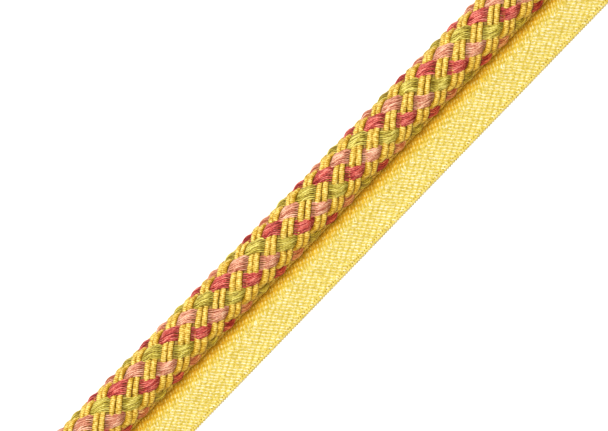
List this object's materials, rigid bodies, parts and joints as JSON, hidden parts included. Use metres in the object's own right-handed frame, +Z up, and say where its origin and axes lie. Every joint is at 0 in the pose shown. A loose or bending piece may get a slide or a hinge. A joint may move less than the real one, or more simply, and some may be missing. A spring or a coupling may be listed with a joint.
{
  "type": "flanged cord trim",
  "caption": "Straight cut length of flanged cord trim: a round multicoloured braided cord sewn along one edge of a flat woven tape.",
  "frame": {"origin": "middle of the trim's footprint, on the surface that it lies on", "axes": "+X along the trim, +Y from the bare edge of the tape towards the cord, +Z up from the surface"},
  "size_m": [0.15, 0.0187, 0.0109],
  "materials": {
    "cord_yarns": "matte",
    "tape_weave": "matte"
  },
  "bodies": {
    "root": {"braided_cord": "cord_yarns", "flange_tape": "tape_weave"}
  },
  "joints": []
}
